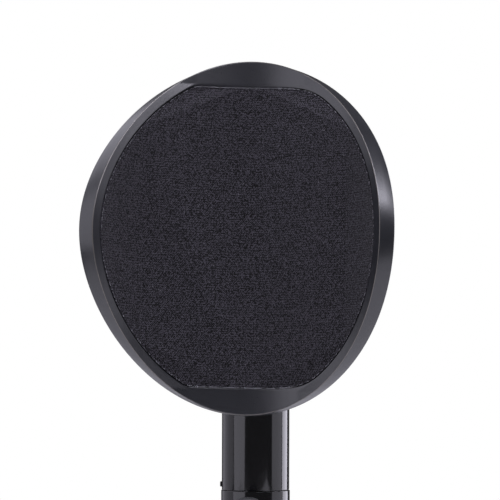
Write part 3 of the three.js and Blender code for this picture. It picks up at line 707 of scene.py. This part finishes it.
FACE_STEPS = 9
HIGHLIGHT_AND_WEAR_WIDTH = 0.25
EDGE_ROUND = 0.3
ring = wire([[RING_RADIUS - inset, depth, *softness] for inset, depth, *softness in (
    [0, EDGE_DEPTH, 0.5], [0, EDGE_DEPTH / 2], [0, HIGHLIGHT_AND_WEAR_WIDTH + EDGE_ROUND], [0, 0, EDGE_ROUND],
    [HIGHLIGHT_AND_WEAR_WIDTH + EDGE_ROUND, 0],
    *[[RIM_SLOPE * (step + 1) / FACE_STEPS, 0] for step in range(1, FACE_STEPS)],
    [RIM_WIDTH, 0, 0.22], [RIM_WIDTH, POCKET_DEPTH / 2], [RIM_WIDTH, POCKET_DEPTH],
    [LAND_INSET, POCKET_DEPTH], [LAND_INSET, SHELL_SEAT], [SHELL_INSET, SHELL_SEAT],
    [SHELL_INSET, EDGE_DEPTH, 0.2],
)], closed=True)
ring = pressed(spun(ring, 320), frame_place)
for side in (-1, 1):
    bmesh.ops.bisect_plane(ring, geom=ring.verts[:] + ring.edges[:] + ring.faces[:], dist=1e-7,
                           plane_co=(0, 0, side * FOLD * MM), plane_no=(PAD_SLANT, 0, 1))
# This band along the outer edge gets the frame's painted highlight and its rubbed wear.
highlight_and_wear_edge = ring.verts.layers.float.new("wear")
for vertex in ring.verts:
    along, depth, height = (part / MM for part in vertex.co)
    if depth < POCKET_DEPTH:
        vertex.co.y += face_depth(along, height) * (1 - depth / POCKET_DEPTH) * MM
    on_edge = depth < HIGHLIGHT_AND_WEAR_WIDTH and inside(along, height) < HIGHLIGHT_AND_WEAR_WIDTH
    vertex[highlight_and_wear_edge] = 1 if on_edge else 0
fitted("front_frame", bent(ring), satin_plastic, "shield", "satin_plastic", "front_frame")


# ------------------------------------------------------------------ foam pad
# The sound absorber: a sheet of charcoal open-cell foam, cut to the oval and its straight edges, and pushed
# into the frame's pocket. It fills it without bulging.
PAD_INSET = 5.9
FOAM_INSET = 7.2
FOAM_FRONT = -0.4
FOAM_BACK = 3.0
FOAM_EDGE = 0.5
SLAB_STEPS = 160

cells = Finish("foam")
pores = cells.node("TexVoronoi", {"feature": "F1"}, {"Vector": cells.place(), "Scale": 1 / (0.9 * MM)}, 0)
foam_finish = cells.coat(
    cells.mix(pores, paint(0.012, 0.012, 0.013), paint(0.05, 0.05, 0.052)), 0.9,
    cells.bump(pores, 0.3))


def evenly(outline_inset, chord=None):
    """Rings that shrink evenly from an outline to its middle."""
    def place(turn, inset, depth):
        share = (RING_RADIUS - inset) / (RING_RADIUS - outline_inset)
        along, height = oval(turn, outline_inset, chord)
        return along * share, height * share
    return place


def slab(inset, front, back, softness, rings, place):
    """A flat sheet with rounded edges, in rings from its middle to its edge."""
    edge = RING_RADIUS - inset
    shares = [step / rings for step in range(1, rings)]
    return pressed(spun(wire([
        [0, back], *[[edge * share, back] for share in shares], [edge, back, softness],
        [edge, front, softness], *[[edge * share, front] for share in reversed(shares)], [0, front],
    ]), SLAB_STEPS), place)


pad_place = evenly(PAD_INSET, PAD_CHORD - ROOM)
foam_form = slab(FOAM_INSET, FOAM_FRONT, FOAM_BACK, FOAM_EDGE, 10, pad_place)
foam = fitted("foam_pad", bent(foam_form), foam_finish, "shield", "foam", "foam_pad")


# ------------------------------------------------------------------ cloth face
# Charcoal warp-knit cloth, stretched over the foam and tucked into the seam all round. The foam presses it
# out a little, which a cloth simulation works out. Its edges are cut and shed short threads.
CLOTH_INSET = 6.6
CLOTH_FRONT = -1.2
CLOTH_THICKNESS = 0.5
CROWN = 0.6
STITCH_ROW = 1.22
STITCH_WIDTH = 1.05
CLOTH_RINGS = 20
FOAM_PRESSURE = 4
SETTLING = 20
ROLL = 0.35
ROLL_REACH = 0.25

knit = Finish("cloth")
flat = knit.node("UVMap", {"uv_map": "flat"})
along_cloth = knit.node("SeparateXYZ", None, {0: flat}, 0)
up_cloth = knit.node("SeparateXYZ", None, {0: flat}, 1)
lump = knit.noise(2.2, 3)
hair = knit.noise(0.16, 3)


def wave(value, period, shift=0.0):
    """A sine from 0 to 1 along the cloth, with its period in millimetres."""
    return 0.5 + 0.5 * knit.node("Math", {"operation": "SINE"}, {
        0: value * (2 * math.pi / (period * MM)) + shift})


slant = (wave(along_cloth, STITCH_WIDTH) - 0.5) * 2.6
loops = wave(up_cloth, STITCH_ROW, slant + lump * 2.4)
ribs = wave(along_cloth + up_cloth, STITCH_WIDTH, lump * 3)
cross_ribs = wave(along_cloth - up_cloth * 0.8, STITCH_WIDTH * 1.3, lump * 3)
speck = knit.step(knit.noise(0.66, 1), 0.4, 0.6)
weave = loops * 0.3 + ribs * cross_ribs * 0.3 + hair * 0.15 + speck * 0.45
fleck = knit.step(knit.noise(0.9, 1, turn=(0.5, 0.9, 0.2)), 0.68, 0.78)
tone = knit.step(weave, 0.36, 0.8)
cloth_finish = knit.coat(
    knit.mix(fleck * 0.55, knit.mix(tone, paint(0.0008, 0.0007, 0.001), paint(0.05, 0.047, 0.057)),
             paint(0.15, 0.145, 0.16)),
    0.88, knit.bump(weave, 0.22), Sheen_Weight=0.08, Sheen_Roughness=0.4, Specular_IOR_Level=0.25)


def unrolled(made):
    """Writes each point's place on the flat cloth, in metres, as the piece's UV map."""
    back = leaning.inverted()
    layer = made.data.uv_layers.new(name="flat")
    for corner in made.data.loops:
        point = back @ made.data.vertices[corner.vertex_index].co
        turn = math.atan2(point.x, point.y - CURVE_AXIS * MM)
        layer.data[corner.index].uv = (turn * CURVE_RADIUS * MM, point.z)


def stretched_cloth():
    """The cloth's front as one flat sheet in rings, pressed out by the foam and held at its edge."""
    edge = RING_RADIUS - CLOTH_INSET
    spoke = wire([[edge * step / CLOTH_RINGS, CLOTH_FRONT] for step in range(CLOTH_RINGS + 1)])
    sheet = pressed(spun(spoke, 200), pad_place)
    mesh = bpy.data.meshes.new("stretching_cloth")
    sheet.to_mesh(mesh)
    bale = bpy.data.objects.new("stretching_cloth", mesh)
    scene.collection.objects.link(bale)
    rim = [vertex.index for vertex in sheet.verts if vertex.is_boundary]
    bale.vertex_groups.new(name="held").add(rim, 1, "REPLACE")
    cloth = bale.modifiers.new("cloth", "CLOTH")
    cloth.settings.vertex_group_mass = "held"
    cloth.settings.use_pressure = True
    cloth.settings.uniform_pressure_force = FOAM_PRESSURE
    cloth.settings.effector_weights.gravity = 0
    cloth.settings.quality = 6
    for moment in range(1, SETTLING + 1):
        scene.frame_set(moment)
    swollen = bale.evaluated_get(bpy.context.evaluated_depsgraph_get())
    sheet.verts.ensure_lookup_table()
    for vertex, pushed in zip(sheet.verts, swollen.data.vertices):
        lift = min(abs(pushed.co.y - vertex.co.y) / MM, 4 * CROWN)
        vertex.co.y -= CROWN * (1 - math.exp(-lift / CROWN)) * MM
    scene.frame_set(1)
    bpy.data.objects.remove(bale)
    bpy.data.meshes.remove(mesh)
    inner = [vertex for vertex in sheet.verts if not vertex.is_boundary]
    for _ in range(3):
        bmesh.ops.smooth_vert(sheet, verts=inner, factor=0.5, use_axis_y=True)
    return sheet


cloth_form = stretched_cloth()
bmesh.ops.recalc_face_normals(cloth_form, faces=cloth_form.faces)
if sum(face.normal.y for face in cloth_form.faces) > 0:
    bmesh.ops.reverse_faces(cloth_form, faces=cloth_form.faces)
cut_area = sum(face.calc_area() for face in cloth_form.faces)
border = [line for line in cloth_form.edges if line.is_boundary]
tucked = bmesh.ops.extrude_edge_only(cloth_form, edges=border)["geom"]
rolled = [part for part in tucked if isinstance(part, bmesh.types.BMVert)]
bmesh.ops.translate(cloth_form, vec=(0, ROLL * CLOTH_THICKNESS * MM, 0), verts=rolled)
for vertex in rolled:
    vertex.co.x *= 1 + ROLL_REACH / FLAT_HALF_WIDTH
    vertex.co.z *= 1 + ROLL_REACH / PAD_CHORD
outer_edge = [part for part in tucked if isinstance(part, bmesh.types.BMEdge)
              and all(vertex in rolled for vertex in part.verts)]
under = bmesh.ops.extrude_edge_only(cloth_form, edges=outer_edge)["geom"]
lower = [part for part in under if isinstance(part, bmesh.types.BMVert)]
bmesh.ops.translate(cloth_form, vec=(0, (1 - ROLL) * CLOTH_THICKNESS * MM, 0), verts=lower)
bmesh.ops.holes_fill(cloth_form, edges=[line for line in cloth_form.edges if line.is_boundary], sides=0)
bmesh.ops.triangulate(cloth_form, faces=[face for face in cloth_form.faces if len(face.verts) > 4])
cloth_face = fitted("cloth_face", bent(cloth_form), cloth_finish, "shield", "cloth", "cloth_face")
unrolled(cloth_face)

# The cut edge's loose threads, a few hundred short ends that lie in and over the seam. The threads are real,
# but their light grey is painted highlight: the light that the fuzzy cut edge catches.
yarn_painted_highlight = Finish("yarn_painted_highlight")
strand = yarn_painted_highlight.noise(0.3)
yarn_painted_highlight_finish = yarn_painted_highlight.coat(
    yarn_painted_highlight.mix(strand, paint(0.12, 0.12, 0.135), paint(0.4, 0.4, 0.43)), 0.8, yarn_painted_highlight.bump(strand, 0.03))
THREADS = 900
THREAD_CHORD = PAD_CHORD - 0.5
CHORD_ENDS = 0.6
SIDE_ENDS = 0.28
chance = random.Random(11)
fray = bmesh.new()
for number in range(THREADS):
    turn = 2 * math.pi * (number + chance.random()) / THREADS
    along, height = oval(turn, CLOTH_INSET, THREAD_CHORD)
    on_chord = abs(height + PAD_SLANT * along) > PAD_CHORD - 1.2
    if chance.random() > (CHORD_ENDS if on_chord else SIDE_ENDS):
        continue
    length = chance.uniform(0.5, 1.5 if on_chord else 0.9)
    ahead = oval(turn + 0.01, CLOTH_INSET, THREAD_CHORD)
    lie = math.atan2(ahead[1] - height, ahead[0] - along) + chance.gauss(0, 0.5)
    place = (
        Matrix.Translation((along * MM, (CLOTH_FRONT - chance.uniform(0.05, 0.25)) * MM, height * MM))
        @ Matrix.Rotation(-lie, 4, "Y")
        @ Matrix.Rotation(math.pi / 2 + chance.gauss(0, 0.12), 4, "Y")
    )
    thick = chance.uniform(0.08, 0.17) * MM
    bmesh.ops.create_cone(fray, cap_ends=True, segments=5, radius1=thick, radius2=thick * 0.6,
                          depth=length * MM, matrix=place)
threads = laid("cloth_threads", bent(fray), yarn_painted_highlight_finish)
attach(threads, "shield")


# ------------------------------------------------------------------ felt layer
# Grey pressed felt behind the steel plate. It shows through the slots of the rear shell.
FELT_INSET = 9.3
FELT_FRONT = 4.7
FELT_BACK = 5.5
FELT_EDGE = 0.2

pressed_felt = Finish("felt")
strands = pressed_felt.noise(0.7, 5, stretch=(1, 1, 0.3), turn=(0.4, 0.3, 0.8))
felt_finish = pressed_felt.coat(
    pressed_felt.mix(strands, paint(0.06, 0.06, 0.062), paint(0.15, 0.15, 0.155)), 0.95,
    pressed_felt.bump(strands, 0.25))

felt_form = slab(FELT_INSET, FELT_FRONT, FELT_BACK, FELT_EDGE, 12, evenly(FELT_INSET))
felt_area = sum(face.calc_area() for face in felt_form.faces) / 2
felt = fitted("felt_layer", bent(felt_form), felt_finish, "shield", "felt", "felt_layer")


# ------------------------------------------------------------------ rear shell and its screws
# The moulded cover of the back, in the same satin black, with vent slots at both sides and a flat boss for
# the bracket. Eight sunk socket screws hold it to the frame.
SHELL_SCREWS = 8
SCREW_INSET = SHELL_INSET + 3
SCREW_SEAT = 6.6
SIXTH = math.pi / 3

fitted("rear_shell", from_cad("rear_shell", 0.35), satin_plastic, "shield", "satin_plastic", "rear_shell")


def socket_screw(head, height, shank, length, top_edge):
    """A screw along Z with a six-sided socket, its head's seat at height 0."""
    form = spun(wire([
        [0, -length], [shank * 0.7, -length, 0.1], [shank, -length + 0.5], [shank, 0], [head, 0, 0.1],
        [head, height, top_edge], [head * 0.5, height, 0.05], [head * 0.5, height * 0.35],
        [0, height * 0.35],
    ]), 24)
    for vertex in form.verts:
        distance = vertex.co.xy.length
        if vertex.co.z > height * 0.3 * MM and 0 < distance < head * 0.56 * MM:
            turn = math.atan2(vertex.co.x, vertex.co.y) % SIXTH - SIXTH / 2
            vertex.co.xy *= math.cos(SIXTH / 2) / math.cos(turn)
    return form


for number in range(SHELL_SCREWS):
    turn = (number + 0.5) * 2 * math.pi / SHELL_SCREWS
    along, height = oval(turn, SCREW_INSET)
    name = f"shell_screw_{number + 1}"
    place = (
        leaning
        @ Matrix.Translation((0, CURVE_AXIS * MM, height * MM))
        @ Matrix.Rotation(-along / CURVE_RADIUS, 4, "Z")
        @ TO_BACK
        @ Matrix.Translation((0, 0, (CURVE_RADIUS + SCREW_SEAT) * MM))
    )
    screw = socket_screw(head=2.3, height=1.2, shank=1.2, length=2.6, top_edge=0.3)
    fitted(name, moved(screw, place), black_steel, "shield", "black_steel", name)


# ------------------------------------------------------------------ tilt bracket, bolt, washers and knob
# A folded steel bracket on the boss, held by four cap screws. Its ears grip the head's tongue through nylon
# washers, on a bolt with a hexagonal head. The scalloped knob on the right tightens it.
BRACKET_BACK = -21.9
BRACKET_SCREW_X = 16.4
BRACKET_SCREW_Z = 14
BOLT_RADIUS = 3
BOLT_HEAD_RADIUS = 6
BOLT_HEAD_HALF = 5.2
BOLT_HEAD_HEIGHT = 4
BOLT_END = 10
EAR_OUTER = 12.1
TONGUE_HALF = 8
TILT_WASHER = 8.5
TILT_KNOB_START = 13.7
TILT_KNOB_RADIUS = 14
TILT_KNOB_LENGTH = 15
TILT_KNOB_HUB = 8.5
TILT_KNOB_BORE = 3.3
TILT_SCALLOPS = 6
TILT_SCALLOP_DEPTH = 2
TILT_SCALLOP_REACH = 4

fitted("tilt_bracket", from_cad("tilt_bracket", 0.35), black_steel, "shield", "black_steel", "tilt_bracket")

for number, (side, level) in enumerate(((-1, -1), (1, -1), (-1, 1), (1, 1))):
    name = f"bracket_screw_{number + 1}"
    place = leaning @ Matrix.Translation((
        side * BRACKET_SCREW_X * MM, (BRACKET_BACK + ROOM) * MM, level * BRACKET_SCREW_Z * MM)) @ TO_BACK
    screw = socket_screw(head=3.4, height=2.2, shank=1.7, length=6, top_edge=0.4)
    fitted(name, moved(screw, place), black_steel, "shield", "black_steel", name)

bolt_seat = -EAR_OUTER - ROOM
bolt_start = bolt_seat - BOLT_HEAD_HEIGHT
bolt_end = TILT_KNOB_START + BOLT_END
bolt = spun(wire([
    [0, bolt_start], [BOLT_HEAD_RADIUS - 1, bolt_start, 0.3], [BOLT_HEAD_RADIUS, bolt_start + 0.6, 0.2],
    [BOLT_HEAD_RADIUS, bolt_seat, 0.1], [BOLT_RADIUS, bolt_seat], [BOLT_RADIUS, bolt_end], [0, bolt_end],
]), 48)
for vertex in bolt.verts:
    if vertex.co.xy.length > (BOLT_RADIUS + 0.5) * MM:
        turn = math.atan2(vertex.co.x, vertex.co.y) % SIXTH - SIXTH / 2
        vertex.co.xy *= min(1, BOLT_HEAD_HALF * MM / math.cos(turn) / vertex.co.xy.length)
at_pivot = leaning @ TO_RIGHT
fitted("pivot_bolt", moved(bolt, at_pivot), steel, "shield", "black_steel", "pivot_bolt")

for side, start in (("left", -TONGUE_HALF - 1.3), ("right", TONGUE_HALF + ROOM)):
    name = f"friction_washer_{side}"
    friction = moved(washer(BOLT_RADIUS + ROOM, TILT_WASHER, start, start + 1), at_pivot)
    fitted(name, friction, nylon, "shield", "nylon", name)
thrust = moved(washer(BOLT_RADIUS + ROOM, TILT_WASHER, EAR_OUTER + ROOM, EAR_OUTER + 1.3), at_pivot)
fitted("thrust_washer", thrust, steel, "tilt_washer", "steel", "thrust_washer")

tilt_end = TILT_KNOB_START + TILT_KNOB_LENGTH
tilt_knob = scalloped(spun(wire([
    [TILT_KNOB_BORE, TILT_KNOB_START], [TILT_KNOB_HUB, TILT_KNOB_START, 0.4],
    [TILT_KNOB_HUB, TILT_KNOB_START + 3, 0.5], [TILT_KNOB_RADIUS - 2.4, TILT_KNOB_START + 3.8, 0.4],
    [TILT_KNOB_RADIUS, TILT_KNOB_START + 5, 0.9], [TILT_KNOB_RADIUS, TILT_KNOB_START + 8],
    [TILT_KNOB_RADIUS, TILT_KNOB_START + 11], [TILT_KNOB_RADIUS, tilt_end - 1, 1.6],
    [TILT_KNOB_RADIUS - 3.4, tilt_end, 0.8], [TILT_KNOB_RADIUS - 6, tilt_end, 0.4],
    [TILT_KNOB_RADIUS - 6.6, tilt_end - 0.6, 0.2], [0, tilt_end - 0.6],
    [0, TILT_KNOB_START + 11], [TILT_KNOB_BORE, TILT_KNOB_START + 11],
], closed=True), 144), TILT_KNOB_RADIUS, TILT_SCALLOPS, TILT_SCALLOP_DEPTH, TILT_SCALLOP_REACH)
fitted("tilt_knob", moved(tilt_knob, at_pivot), grip_plastic, "tilt_knob", "grip_plastic", "tilt_knob")
